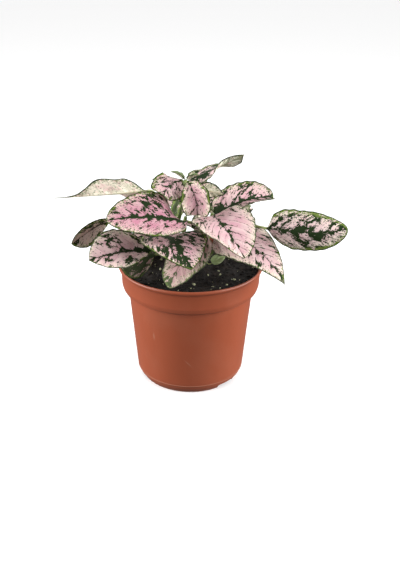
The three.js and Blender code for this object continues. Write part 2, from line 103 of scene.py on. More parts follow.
LEAVES = {
    "leaf_crown_front": grown("a", 0.96, (-2.5, 1.1, 149), 29, 25, 296, -9, -87,
        (0.2, 0.8, 0.5, 0.7, 1.3, 0, 1), roll=10, twist=11, fold=(33, 12), cup=25, widest=0.64, taper=0.56,
        wave=1.5, phase=-100),
    "leaf_crown_left": grown("a", 0.96, (-7.5, 5.8, 148.9), 25, 27, 227, -1, -16,
        (0.36, 0.7, 0.3, 0.3, 1.6, 0, 33), turn=31, roll=-37, twist=-9, fold=(-1, -26), cup=4, widest=0.42,
        taper=0.44, wave=2.5, waves=2.5, phase=109),
    "leaf_crown_narrow": grown("a", 0.9, (-8.1, 4.4, 137.7), 18.5, 10.5, 184, -70, -16,
        (0.46, 0.3, 0.5, 0.4, 1.6, 0.1, 809), turn=4, roll=-6, twist=9, fold=(-14, 54), cup=-39, widest=0.53,
        taper=0.4, wave=0.1, waves=2.4, phase=-150),
    "leaf_crown_right": grown("a", 0.98, (-2.5, 11, 145.6), 48.5, 27.5, 21, 26, 6,
        (0.38, 0.35, 0.3, 0.3, 1.5, 0, 810), turn=-70, roll=-16, twist=-87, fold=(36, -65), cup=16,
        taper=1.18, wave=1.8, waves=2.5, phase=77),
    "leaf_crown_pale": grown("a", 0.9, (5, -0.8, 144.8), 18, 12, 6, -10, -10,
        (0.4, 0.3, 0.5, 0.4, 0.5, 0.3, 253), roll=-85, wave=0.4),
    "leaf_crown_back": grown("a", 0.68, (-7, 12, 122), 46, 29, 92, 25, -95, (0.35, 0.6, 0.8, 0.6, 0.5, 0, 6),
        roll=6, fold=(12, 12)),
    "leaf_right_upper": grown("b", 0.94, (16.5, 1.8, 123.6), 54.5, 28.5, 36, 24, -41,
        (0.36, 0.6, 1.4, 0.2, 1.0, 0, 751), turn=-3, roll=25, twist=9, fold=(30, 27), cup=28, widest=0.4,
        taper=0.51, wave=0.3, waves=2.7, phase=156),
    "leaf_right_front": grown("b", 0.88, (15.9, -3.3, 125.7), 52.5, 43.5, 285, 9, -47,
        (0.15, 0.55, 0.9, 0.8, 0.9, 0, 8), turn=19, roll=12, twist=-25, fold=(19, 15), cup=-6, taper=0.64,
        wave=0.7, waves=2.5, phase=-7),
    "leaf_right_small": grown("b", 0.8, (13.8, -4.3, 119.8), 17, 17, 218, 25, -40,
        (0.4, 0.5, 0.6, 0.5, 0.6, 0, 9), roll=-26, wave=0.6),
    "leaf_right_cream": grown("b", 0.84, (25.2, 9.3, 121.9), 22.5, 18, 37, 22, -30,
        (0.3, 0.3, 0.4, 0.4, 1.0, 0.4, 10), turn=-5, roll=-3, twist=-1, fold=(10, -7), cup=-15, widest=0.25,
        taper=0.74, wave=1, waves=3.2, phase=19),
    "leaf_far_right": grown("b", 0.85, (51.7, -24.3, 125.1), 55.5, 31, 340, -4, 19,
        (0.4, 0.2, 0.6, 0.3, 1.8, 0, 538), lift=0.5, turn=12, roll=115, twist=-52, fold=(-18, -4), cup=-18,
        taper=0.55, wave=1.1, waves=2, phase=132),
    "leaf_right_lower": grown("b", 0.74, (17.3, -8, 116.6), 69.5, 39.5, 324, 7, -50,
        (0.14, 0.5, 0.6, 0.8, 0.9, 0, 415), turn=-16, roll=28, twist=-27, fold=(1, 1), base_fold=(-14, -4),
        cup=-12, widest=0.29, taper=1.04, wave=0.5, phase=-45),
    # Its dress darkens it to a dull olive-pink: painted shade, for the shade that the leaves above it cast on
    # it.
    "leaf_front_low": grown("b", 0.6, (10.8, -6.5, 114.3), 55.5, 31.5, 237, -5, -42,
        (0.18, 1.0, 0.5, 0.4, 1.0, 0.15, 1098), turn=5, roll=-39, twist=-23, fold=(-5, -65), cup=10,
        widest=0.35, taper=0.63, wave=1.7, phase=-48),
    "leaf_front_seedling": grown("b", 0.47, (15, -14, 94), 11, 8, 22, 30, -20,
        (0.1, 0.2, 0.2, 0.2, 0.3, 1, 820), roll=30, wave=0.2),
    "leaf_left_big": grown("c", 0.93, (-2, -18, 126.6), 57.5, 38.5, 193, 17, -21,
        (0.36, 1.0, 1.1, 0.4, 1.1, 0, 325), turn=7, roll=-34, twist=-10, fold=(20, 15), base_fold=(32, -51),
        cup=-5, widest=0.36, taper=0.61, waves=2.7, phase=166),
    "leaf_front_centre": grown("c", 0.82, (-17, -9.4, 112), 52.5, 47, 281, 24, -58,
        (0.44, 0.65, 1.2, 0.4, 1.1, 0, 1101), turn=21, roll=42, twist=-10, fold=(-28, 48), cup=-9,
        widest=0.39, wave=1, waves=2, phase=-64),
    "leaf_left_front": grown("c", 0.7, (-24.9, -19.2, 105.2), 50.5, 33.5, 205, 12, -15,
        (0.22, 0.45, 0.9, 0.5, 0.9, 0, 141), turn=14, roll=-55, twist=8, fold=(41, 31), cup=-11, widest=0.63,
        taper=0.64, wave=0.5, waves=3.6, phase=-112),
    # Its dress darkens it to a dull olive-pink: painted shade, for the shade that the leaves above it cast as
    # it hangs over the rim.
    "leaf_left_rim": grown("c", 0.6, (-24.8, -18.8, 102.1), 29.5, 31, 208, 5, -1,
        (0.36, 0.9, 0.5, 0.3, 0.9, 0.12, 669), turn=11, roll=-53, twist=9, fold=(-26, -9), cup=-16,
        widest=0.5, taper=0.72, wave=0.4, waves=2.5, phase=-93),
    "leaf_far_left": grown("d", 0.9, (-32.4, 40.1, 128.7), 74.8, 26.5, 171.5, -9, 1,
        (0.35, 0.6, 0.5, 0.5, 1.0, 0, 763), turn=-2, roll=69.5, twist=-67, fold=(57, 23), cup=-4, widest=0.37,
        taper=3.1, wave=2.6, waves=2.2),
    "leaf_left_small": grown("d", 0.8, (-57.4, 6.4, 117.9), 39, 21, 238, 5, -32,
        (0.2, 0.2, 0.5, 0.3, 1.4, 0, 516), turn=-20, roll=-71, twist=7, fold=(-5, 66), cup=-26, widest=0.62,
        taper=0.71, wave=0.1, waves=5.2, phase=-133),
    "leaf_back_left": grown("d", 0.72, (-26, 22, 110), 44, 34, 152, 10, -75, (0.3, 0.6, 1.0, 0.7, 0.5, 0, 21),
        roll=-12),
    "leaf_back_left_low": grown("d", 0.55, (-24, 12, 97), 42, 30, 188, 5, -50,
        (0.45, 0.45, 1.1, 0.6, 0.7, 0, 22), roll=-10, fold=(12, 12)),
    "leaf_back_low": grown("d", 0.62, (-14, 26, 101), 42, 31, 134, 0, -60, (0.25, 0.5, 0.7, 0.9, 0.4, 0, 23)),
    "leaf_back_right": grown("e", 0.95, (20, 24, 117), 42, 34, 58, 20, -80, (0.36, 0.7, 1.2, 0.6, 0.6, 0, 24),
        roll=8),
    "leaf_back": grown("e", 0.76, (7, 24, 104), 41, 31, 84, 5, -70, (0.2, 0.55, 0.6, 0.9, 0.4, 0, 25),
        roll=-5),
    "leaf_back_right_low": grown("e", 0.7, (24, 14, 102), 42, 28, 12, 5, -50,
        (0.5, 0.4, 1.2, 0.6, 0.9, 0, 26), roll=10),
}

# Pairs of folded young leaves at the growing tips.
BUD = dict(USUAL, length=11, width=5, rise=40, droop=-30, fold=(35, 35), taper=1, wave=0.2)
BUD_DRESS = (0.5, 0.4, 0.6, 0.4, 0.6, 0.4)
BUD_HEADINGS = {"a": (172, 330), "b": (155, 235), "c": (20, 65), "d": (215, 265), "e": (140, 240)}

LEAF_DETAIL = (84, 12, 24)  # rows along the blade, rows along the stalk and columns across each half
BUD_DETAIL = (30, 4, 8)
VEIN_SPACING = 8.0  # between side veins along the midrib
STALK_RADIUS = 0.9

# ---- The pot and soil ----

POT_WALL = 1.2
POT_FLOOR = (3.6, 5.1)  # heights of its lower and upper face
FOOT_INNER_RADIUS = 32.8
BEAD_HEIGHT = 7.0  # a fine raised line round the pot above its foot
NOTCH_SIZE = (16, 17, 7.2)
NOTCH_DISTANCE = 36.2  # from the axis to the middle of each
NOTCH_AZIMUTHS = (-42, 78, 198)
DRAIN_RADIUS = 3.5
DRAIN_DISTANCE = 25  # from the axis to each drain hole
DRAINS = 6
DRAIN_ROD = (8, 4.6)  # the length and middle height of the rod that cuts a hole
SCUFFS = ((-25.5, 46.0, 0.1), (-1.0, 27.5, 0.9))  # on the pot's front: across, height and tilt
POT_SIDES = 192
SOIL_SIDES = 240
SOIL_RINGS = 96
CLODS = ((0.5, 4.5), (0.45, 2.1), (0.3, 1.0))  # how tall and how wide, by size
SOIL_GAP = 0.3  # between the soil and the pot

# ---- The studio, in metres and degrees ----

SOFTBOX_PLACE = (0.75, -0.2, 0.3)  # the right one; the left one mirrors it
SOFTBOX_SIZE = 0.7
PLANT_MIDDLE = (0, 0, 0.09)
OVERHEAD_WIDTH = 80
OVERHEAD_TILT = -6
FLOOR_HALF = 40
LENS = 55.0
CAMERA_AIM = (0.00683, 0, 0.07013)
CAMERA_DISTANCE = 0.64
CAMERA_FALL = 25.4
CAMERA_ROLL = 0.65

# ---- Sizes and colours a user would change ----


def box_size(node):
    """The size of a node's box along X, Y and Z, in metres."""
    low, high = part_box(node)
    return high - low


def colour(name, value, description):
    return FloatVectorProperty(name=name, description=description, default=value, subtype="COLOR", min=0, max=1)


def number(name, value, description, unit="NONE"):
    return FloatProperty(name=name, description=description, default=value, unit=unit)


def length(name, value, description):
    return number(name, value, description, "LENGTH")


class PotSettings(PropertyGroup):
    height: length("Height", box_size("pot").z, "Height of the pot")
    rim_radius: length("Rim radius", box_size("pot").x / 2, "Radius over the pot's lip")
    plastic: colour("Plastic", (0.31, 0.071, 0.03), "Colour of the pot's plastic")
    # Also the colour of the scuffs and of the painted highlight along the bead.
    dust: colour("Dust", (0.38, 0.16, 0.1), "Colour of the thin dust on the pot")


class SoilSettings(PropertyGroup):
    edge: length("Edge height", 0.0836, "Height of the soil at the pot's wall")
    crown: length("Middle height", 0.0854, "Height of the soil in the middle")
    crumbs: IntProperty(name="Crumbs", description="How many loose crumbs lie on the soil", default=900)
    perlite: IntProperty(name="Perlite", description="How many pale bits lie in the soil", default=95)
    peat: colour("Peat", (0.008, 0.0062, 0.0054), "Colour of the damp soil")
    pale: colour("Perlite colour", (0.6, 0.62, 0.38), "Colour of the pale bits")


class StemSettings(PropertyGroup):
    green: colour("Green", (0.18, 0.26, 0.08), "Colour of the young stem")
    blush: colour("Blush", (0.36, 0.2, 0.14), "Colour of the older stem")


class LeafSettings(PropertyGroup):
    thickness: length("Thickness", 0.00045, "Thickness of a blade")
    quilting: length("Quilting", 0.00035, "How deep the side veins lie in the blade")
    pale_pink: colour("Pale pink", (0.69, 0.545, 0.525), "The lightest pink")
    deep_pink: colour("Deep pink", (0.5, 0.2, 0.28), "The deepest pink")
    dark_green: colour("Dark green", (0.012, 0.027, 0.006), "Green of the middle of the blade")
    light_green: colour("Light green", (0.13, 0.19, 0.035), "Green near the edge and the base")
    cream: colour("Cream", (0.8, 0.78, 0.58), "Pale speckle near the edge")


class StageSettings(PropertyGroup):
    side_light: number("Side lights", 13, "Power of each of the two side softboxes", "POWER")
    top_light: number("Top light", 1.15, "Strength of the wide overhead light")
    behind: number("Behind", 0.8, "Brightness of the surround behind the plant")
    before: number("Before", 0.08, "Brightness of the surround before the plant")
    below: number("Below", 0.18, "Brightness of the light that comes up from the floor")
    paper_glow: number("Paper glow", 0.25, "How far the floor is lit from below, as a light table is")


class PlantSettings(PropertyGroup):
    pot: PointerProperty(type=PotSettings)
    soil: PointerProperty(type=SoilSettings)
    stems: PointerProperty(type=StemSettings)
    leaves: PointerProperty(type=LeafSettings)
    stage: PointerProperty(type=StageSettings)


# ---- Surfaces as whole arrays ----


def smooth(x):
    """0 below 0, 1 above 1, and 3x^2 - 2x^3 between."""
    x = np.clip(x, 0, 1)
    return x * x * (3 - 2 * x)


def unit(v):
    return v / np.linalg.norm(v, axis=-1, keepdims=True)


def bezier(points, t):
    """Points and directions along a cubic Bezier: the sum of its control points times Bernstein's weights."""
    a, b, c, d = (np.asarray(p, float) for p in points)
    t = np.asarray(t, float)[:, None]
    place = a * (1 - t) ** 3 + b * 3 * t * (1 - t) ** 2 + c * 3 * t**2 * (1 - t) + d * t**3
    along = (b - a) * (1 - t) ** 2 + (c - b) * 2 * t * (1 - t) + (d - c) * t**2
    return place, unit(along)


def lattice_noise(x, y, size, seed):
    """Smooth noise from -1 to 1: random values on a square lattice of the given spacing, eased between."""
    lattice = np.random.default_rng(seed).uniform(-1, 1, (257, 257))
    u, v = x / size + 128.0, y / size + 128.0
    i, j = np.floor(u).astype(int) % 256, np.floor(v).astype(int) % 256
    fu, fv = smooth(u - np.floor(u)), smooth(v - np.floor(v))
    near = lattice[i, j] * (1 - fu) + lattice[i + 1, j] * fu
    far = lattice[i, j + 1] * (1 - fu) + lattice[i + 1, j + 1] * fu
    return near * (1 - fv) + far * fv


def closed_skin(rings):
    """Points and faces of a closed skin over rings of points, K x N x 3: a quad between each two neighbours on
    two neighbouring rings, and a fan from the mean point of the first and of the last ring. Each ring runs
    counter-clockwise seen from the ring after it."""
    count, around = rings.shape[:2]
    k, j = np.meshgrid(np.arange(count - 1), np.arange(around), indexing="ij")
    after = (j + 1) % around
    quads = np.stack([k * around + j, k * around + after, (k + 1) * around + after, (k + 1) * around + j], -1)
    edge = np.arange(around)
    turn = (edge + 1) % around
    first, last = count * around, (count - 1) * around
    caps = np.stack([np.stack([np.full(around, first), turn, edge], -1),
                     np.stack([np.full(around, first + 1), last + edge, last + turn], -1)])
    points = np.concatenate([rings.reshape(-1, 3), rings[:1].mean(1), rings[-1:].mean(1)])
    return points, quads.reshape(-1, 4), caps.reshape(-1, 3)


def add_mesh(name, points, faces, materials, slots=None, attributes=None):
    """A new object at the origin from points in millimetres. faces is a list of arrays of quads or triangles,
    slots the material index of each face, and attributes a vector at each point under its name."""
    mesh = bpy.data.meshes.new(name)
    mesh.from_pydata(points * MM, [], [corners for each in faces for corners in each.tolist()])
    for key, value in (attributes or {}).items():
        layer = mesh.attributes.new(key, "FLOAT_VECTOR", "POINT")
        layer.data.foreach_set("vector", value.astype(np.float32).ravel())
    for material in materials:
        mesh.materials.append(material)
    if slots is not None:
        mesh.polygons.foreach_set("material_index", slots.astype(np.int32))
    mesh.validate()
    mesh.shade_smooth()
    made = bpy.data.objects.new(name, mesh)
    bpy.context.scene.collection.objects.link(made)
    return made


def stand_for(made, node):
    """The made piece rides with the plant and takes the node's place."""
    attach(made, "root")
    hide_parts(node)


# ---- Leaves ----


def outline(row, s):
    """The blade's width at s: s^a (1 - s)^b, scaled to 1 where the blade is widest."""
    b = row["taper"]
    a = b * row["widest"] / (1 - row["widest"])
    return s**a * (1 - s) ** b / (row["widest"] ** a * (1 - row["widest"]) ** b)


def blade_direction(row, s):
    """The midrib's direction at s: its heading and its climb both change evenly from base to tip."""
    heading = np.radians(row["heading"] + row["turn"] * s)
    climb = np.radians(row["rise"] + row["droop"] * s)
    return np.stack([np.cos(climb) * np.cos(heading), np.cos(climb) * np.sin(heading), np.sin(climb)], -1)


def midrib(row, s):
    """Points along the midrib: the sum of small steps along its direction, from the blade's neck."""
    steps = 400
    middles = blade_direction(row, (np.arange(steps) + 0.5) / steps) * row["length"] / steps
    sums = np.vstack([np.zeros(3), np.cumsum(middles, 0)]) + np.array(row["neck"], float)
    return np.stack([np.interp(s, np.linspace(0, 1, steps + 1), sums[:, k]) for k in range(3)], -1)


def side_and_up(along, roll):
    """The leftward and the upward direction across each direction, turned about it by roll."""
    level = unit(np.stack([-along[:, 1], along[:, 0], np.zeros(len(along))], -1))
    up = np.cross(along, level)
    roll = np.broadcast_to(roll, len(along))[:, None]
    return level * np.cos(roll) + up * np.sin(roll), up * np.cos(roll) - level * np.sin(roll)


def vein_phase(row, s, across):
    """A number that is whole on each side vein: it grows along the midrib by one each spacing, and each vein
    slants and curves forwards as it leaves the midrib."""
    reach = np.abs(across)
    forward = s * row["length"] - reach - 0.02 * reach**2
    return forward / VEIN_SPACING + 0.5 + np.where(across > 0, 0.22, 0)


def blade_surface(row, s, q, seed, quilting):
    """The blade's middle surface over s (0 at the base, 1 at the tip) and q (1 at the left edge, -1 at the
    right one), and its flattened half width. Across the midrib each half rises by its fold, eased over the
    midrib, bends by its cup and carries the wave of its edge. Side veins lie in it, and the blade swells
    between them."""
    along, reach, left = s[:, None], np.abs(q), q > 0
    shape = outline(row, along)
    notched = 1 + 0.011 * np.sin(2 * np.pi * 8 * along + seed) * smooth(shape * 3)
    width = np.maximum(row["width"] / 2 * shape * notched, 0.3)
    settled = smooth((along - 0.05) / 0.3)
    base = row["base_fold"] or row["fold"]
    fold = np.where(left, *(np.radians(base[k] + (row["fold"][k] - base[k]) * settled) for k in (0, 1)))
    cup = np.radians(row["cup"]) or 1e-4
    sideways = (np.sin(fold + cup * reach) - np.sin(fold)) / cup * width * np.sign(q)
    lift = (np.cos(fold) - np.cos(fold + cup * reach)) / cup * width * (1 - np.exp(-reach / 0.05))
    swing = 2 * np.pi * row["waves"] * along + np.radians(row["phase"]) + np.where(left, 0, 1.9)
    ripple = 2 * np.pi * (2.7 * row["waves"] + 1) * along + np.where(left, seed, 2 * seed)
    lift = lift + (row["wave"] * reach**1.6 * np.sin(swing) + 0.28 * reach**3 * np.sin(ripple)) * shape
    across = q * width
    swell = -0.5 * np.cos(2 * np.pi * vein_phase(row, along, across))
    body = smooth(reach / 0.25) * smooth((1 - reach) / 0.3) * smooth(shape * 1.5)
    lift = lift + 1.6 * quilting * swell * body
    side, up = side_and_up(blade_direction(row, s), np.radians(row["roll"] + row["twist"] * s))
    points = midrib(row, s)[:, None] + side[:, None] * sideways[..., None] + up[:, None] * lift[..., None]
    return points, across, width


def blade_faces(row, s, q, seed, settings):
    """The blade's upper and lower face, either side of its middle surface. It thins towards its edge, and the
    midrib is a groove above and a rib below. With them, the flattened place and half width of each point."""
    points, across, width = blade_surface(row, s, q, seed, settings.quilting / MM)
    normal = unit(np.cross(np.gradient(points, axis=1), np.gradient(points, axis=0)))
    thin = settings.thickness / MM * (0.4 + 0.6 * np.sqrt(1 - 0.97 * np.abs(q) ** 4)) / 2
    rib = (0.15 + (1 - s[:, None]) ** 1.4) * np.exp(-(across / 0.75) ** 2)
    groove = 0.22 * np.exp(-(across / 0.45) ** 2) * smooth(s[:, None] / 0.1)
    upper = points + normal * (thin - groove)[..., None]
    lower = points - normal * (thin + rib)[..., None]
    return upper, lower, across, width


def half_circles(centre, side, up, radius, columns):
    """Half a circle over each centre, from left to right. A radius below 0 puts it under the centre."""
    angle = np.pi / 2 * np.linspace(1, -1, columns)
    spread = side[:, None] * np.sin(angle)[:, None]
    raised = up[:, None] * np.cos(angle)[:, None]
    size = np.abs(radius)[:, None, None]
    return centre[:, None] + (spread + raised * np.sign(radius)[:, None, None]) * size


def leaf(row, root, dress, settings, detail):
    """A whole leaf as one closed skin. Rings of points run round it from its stalk's root to its tip, over its
    upper face from left to right and back under its lower face. The stalk is round; over the first part of
    the blade the ring opens out from round to the thin, waved blade, with a raised rib below the midrib."""
    rows, stalk_rows, half = detail
    even = np.linspace(0, 1, rows)
    s = 0.5 * (0.5 - 0.5 * np.cos(np.pi * even)) + 0.5 * even
    q = np.linspace(1, -1, 2 * half + 1)
    q = np.sign(q) * np.abs(q) ** 1.15
    upper, lower, across, width = blade_faces(row, s, q, dress[6], settings)

    # The round stalk, carried on under the blade's base.
    root, neck = np.asarray(root, float), np.array(row["neck"], float)
    out = neck - root
    reach = np.linalg.norm(out)
    start = unit(np.append(out[:2] / max(np.hypot(*out[:2]), 1e-6), row["lift"]))
    first = blade_direction(row, np.zeros(1))[0]
    t = np.linspace(0, 1, stalk_rows, endpoint=False)
    place, along = bezier([root, root + start * reach / 3, neck - first * reach / 3, neck], t)
    side, up = side_and_up(along, np.radians(row["roll"]) * t)
    base = side_and_up(blade_direction(row, s), np.radians(row["roll"] + row["twist"] * s))
    radius = STALK_RADIUS * min(1.0, row["length"] / 30)
    under = radius * (1 - 0.5 * smooth(s / 0.12))
    opened = smooth(s / 0.07)[:, None, None]
    faces = []
    for face, blade in ((1, upper), (-1, lower)):
        stalk = half_circles(place, side, up, np.full(stalk_rows, face * radius), len(q))
        tube = half_circles(midrib(row, s), *base, face * under, len(q))
        faces.append(np.concatenate([stalk, tube * (1 - opened) + blade * opened]))
    skin, quads, caps = closed_skin(np.concatenate([faces[0], faces[1][:, ::-1]], axis=1))

    # What the colours follow: the flattened blade, its veins and edge, and the leaf's own dress.
    s = np.concatenate([t - 1, s])
    along = s * np.where(s < 0, reach, row["length"])
    across = np.concatenate([np.repeat(q[None] * STALK_RADIUS, stalk_rows, 0), across])
    width = np.concatenate([np.full((stalk_rows, 1), STALK_RADIUS), width])
    grid = np.ones(across.shape)
    lamina = np.stack([along[:, None] * grid, across, grid * dress[6]], -1)
    veining = np.stack([s[:, None] * grid, vein_phase(row, s[:, None], across), width * (1 - np.abs(q))], -1)
    attributes = {"dress": np.tile(dress[:3], (len(skin), 1)), "accent": np.tile(dress[3:6], (len(skin), 1))}
    for name, values in (("lamina", lamina), ("veining", veining)):
        around = np.concatenate([values, values[:, ::-1]], axis=1).reshape(-1, 3)
        attributes[name] = np.concatenate([around, values[:1, half], values[-1:, half]])
    column = np.tile(np.arange(2 * len(q)), len(s) - 1)
    lower_face = (column >= len(q)) & (column < 2 * len(q) - 1)
    return skin, [quads, caps], np.concatenate([lower_face, np.zeros(len(caps), bool)]), attributes


# ---- Materials ----


class Value:
    """A number or a colour that a node gives out. Arithmetic on it adds the nodes that work it out."""

    def __init__(self, graph, socket):
        self.graph, self.socket = graph, socket

    def math(self, operation, other=0.0, clamp=False):
        return self.graph.value("Math", {0: self, 1: other}, operation=operation, use_clamp=clamp)

    def __rsub__(self, other):
        return (self - other) * -1.0

    __add__ = partialmethod(math, "ADD")
    __sub__ = partialmethod(math, "SUBTRACT")
    __mul__ = partialmethod(math, "MULTIPLY")
    __truediv__ = partialmethod(math, "DIVIDE")
    __lt__ = partialmethod(math, "LESS_THAN")
    __gt__ = partialmethod(math, "GREATER_THAN")
    __abs__ = partialmethod(math, "ABSOLUTE")
    larger = partialmethod(math, "MAXIMUM")

    def fade(self, rate):
        """exp(-rate * value)"""
        return (self * -rate).math("EXPONENT")

    def bell(self, width):
        """exp(-(value / width)^2)"""
        ratio = self / width
        return (ratio * ratio).fade(1.0)

    def step(self, low, high):
        """0 below low, 1 above high, eased between."""
        return self.graph.value("MapRange", {"Value": self, "From Min": low, "From Max": high},
                                "Result", interpolation_type="SMOOTHSTEP")

    def between(self, a, b):
        """The colour a where the value is 0 and b where it is 1."""
        a, b = (v if isinstance(v, Value) else (*v, 1.0) for v in (a, b))
        return self.graph.value("Mix", {0: self, 6: a, 7: b}, 2, data_type="RGBA")


class Graph:
    """Short calls that build one material's nodes. A Value or a plain value can be passed to each input."""

    def __init__(self, name, kind="materials"):
        self.material = getattr(bpy.data, kind).new(name)
        self.material.use_nodes = True
        self.tree = self.material.node_tree
        self.tree.nodes.clear()

    def node(self, kind, inputs, **settings):
        made = self.tree.nodes.new("ShaderNode" + kind)
        for key, value in settings.items():
            setattr(made, key, value)
        for key, value in inputs.items():
            if isinstance(value, Value):
                self.tree.links.new(value.socket, made.inputs[key])
            else:
                made.inputs[key].default_value = value
        return made

    def value(self, kind, inputs, output=0, **settings):
        return Value(self, self.node(kind, inputs, **settings).outputs[output])

    def combine(self, x, y, z):
        return self.value("CombineXYZ", {0: x, 1: y, 2: z})

    def split(self, vector):
        """The three numbers of a vector."""
        return [Value(self, socket) for socket in self.node("SeparateXYZ", {0: vector}).outputs]

    def attribute(self, name):
        return self.split(self.value("Attribute", {}, "Vector", attribute_name=name))

    def place(self):
        """The place on the object in millimetres."""
        inputs = {0: self.value("TexCoord", {}, "Object"), 1: (1 / MM,) * 3}
        return self.value("VectorMath", inputs, operation="MULTIPLY")

    def noise(self, vector, scale, detail=2.0, distortion=0.0):
        inputs = {"Vector": vector, "Scale": scale, "Detail": detail, "Distortion": distortion}
        return self.value("TexNoise", inputs, "Fac")

    def cells(self, vector, scale, output="Position", feature="F1"):
        return self.value("TexVoronoi", {"Vector": vector, "Scale": scale}, output, feature=feature)

    def surface(self, body, rough, relief, depth, strength, level=0.5):
        """The finished material: its colour, roughness and relief, that relief's depth in metres and its
        strength, and the specular level."""
        bump = self.value("Bump", {"Height": relief, "Distance": depth, "Strength": strength},
                          "Normal")
        return self.finish({"Base Color": body, "Roughness": rough, "Normal": bump,
                            "Specular IOR Level": level})

    def finish(self, inputs):
        self.node("OutputMaterial", {"Surface": self.value("BsdfPrincipled", inputs)})
        return self.material


class LeafGraph(Graph):
    """What both faces of a leaf share: its coordinates, and how green each spot is. Green grows in angular
    patches that are drawn out along the side veins and gather in loose clusters. It gathers too on the midrib,
    on the side veins and at the edge, as boldly as the leaf's dress says."""

    def __init__(self, name):
        super().__init__(name)
        along, across, seed = self.attribute("lamina")
        self.s, phase, self.margin = self.attribute("veining")
        green, self.pink, middle = self.attribute("dress")
        veins, self.rim, self.plain = self.attribute("accent")
        self.reach = abs(across)
        own = seed + (across > 0.0) * 13.7
        self.flow = self.combine(phase * VEIN_SPACING, self.reach * 0.75 + along * 0.3, own)
        self.patch = self.noise(self.cells(self.flow, 1.15), 0.27, 3.0)
        self.fleck = self.noise(self.cells(self.flow, 2.0), 1.0, 1.0)
        cluster = self.noise(self.flow, 0.09, 1.0)
        from_vein = abs((phase + 0.5).math("FRACT") - 0.5) * VEIN_SPACING
        self.vein = from_vein.bell(0.75)
        inner = self.margin / (self.reach + self.margin + 0.01)
        uneven = self.noise(self.combine(along, 0.0, own), 0.22, 1.0).step(0.35, 0.65) * 1.3 + 0.35
        rib_width = ((1.0 - self.s) * 2.2 + 0.8) * uneven
        on_rib = self.reach.bell(rib_width) * middle * 0.26
        on_vein = self.vein * veins * 0.2 * (inner * 0.9 + 0.1)
        near_rim = self.margin.fade(0.4) * self.rim
        share = (green - 0.3) * 0.4
        base = self.patch + (cluster - 0.5) * 0.55 + share
        self.level = base + on_rib + on_vein + near_rim * 0.07 + (self.fleck - 0.5) * self.rim * 0.28
        patches = self.level.step(0.565, 0.58)
        self.spots = patches.larger((self.fleck + near_rim * 0.19 + share * 0.5).step(0.66, 0.68))
        self.edge_line = self.margin < self.noise(self.flow, 0.7, 1.0) * 1.2 + 0.3
        broken = (self.patch + self.fleck * 0.3).step(0.56, 0.7)
        self.thread = from_vein.bell(0.4) * broken * veins.math("MULTIPLY", 0.9, clamp=True)
        self.net = self.cells(self.flow, 0.85, "Distance", "DISTANCE_TO_EDGE")


def leaf_upper_face(settings):
    """Pink between green patches, cream specks near the edge and a fine net of veins."""
    g = LeafGraph("spotted_leaf_upper_face")
    cloud = g.noise(g.flow, 0.16)
    depth = g.pink * 0.8 + (cloud - 0.5) * 1.1 + g.vein * 0.1
    ground = depth.between(settings.pale_pink, settings.deep_pink)
    creamy = g.margin.fade(0.28) * g.fleck.step(0.38, 0.5) * (g.rim * 0.8 + 0.35)
    ground = creamy.between(ground, settings.cream)
    beside_green = g.level.step(0.53, 0.62) * 0.5
    ground = beside_green.between(ground, (0.4, 0.27, 0.17))
    fresh = g.margin.fade(0.45) * (g.rim * 0.8 + 0.3) + g.noise(g.flow, 0.5, 1.0) * 0.9
    green = fresh.step(0.75, 1.2).between(settings.dark_green, settings.light_green)
    spotted = g.spots.between(ground, green)
    lines = (g.reach.bell(0.3) * 0.6).larger(g.thread * 0.75).larger(g.edge_line * 0.85)
    spotted = lines.between(spotted, settings.dark_green)
    plain = cloud.step(0.3, 0.7).between((0.34, 0.44, 0.2), (0.5, 0.58, 0.32))
    body = (g.s < 0.0).between(g.plain.between(spotted, plain), (0.3, 0.34, 0.14))
    relief = g.net.step(0.0, 0.22) + g.patch * 0.6
    return g.surface(body, cloud * 0.16 + 0.5, relief, 0.0002, 0.6, 0.12)


def leaf_lower_face(settings):
    """Cream to pale green, with the upper face's spots showing through."""
    g = LeafGraph("pale_leaf_lower_face")
    cloud = g.noise(g.flow, 0.2)
    bold_rim = g.rim.step(1.0, 1.2)
    pale = bold_rim.between((0.82, 0.75, 0.62), (0.93, 0.95, 0.78))
    ground = cloud.step(0.45, 0.65).between(pale, (0.78, 0.55, 0.52))
    showing = g.level.step(0.57, 0.62) * (bold_rim * 0.4 + 0.3)
    specks = (g.fleck + g.margin.fade(0.35) * 0.28).step(0.66, 0.69) * 0.85
    below = showing.larger(specks).between(ground, (0.11, 0.16, 0.05))
    below = g.edge_line.between(below, settings.dark_green)
    ribs = g.reach.bell(0.5).larger(g.vein * 0.35) * 0.6
    below = (g.s < 0.0).between(ribs.between(below, (0.36, 0.33, 0.18)), (0.34, 0.38, 0.17))
    relief = g.vein * 1.2 - g.net.step(0.0, 0.2)
    return g.surface(below, cloud * 0.15 + 0.55, relief, 0.0002, 0.6, 0.25)


def leaf_faces(settings):
    """The materials of a leaf's upper and lower face, made once for all the leaves."""
    made = bpy.data.materials
    return [made.get("spotted_leaf_upper_face") or leaf_upper_face(settings),
            made.get("pale_leaf_lower_face") or leaf_lower_face(settings)]


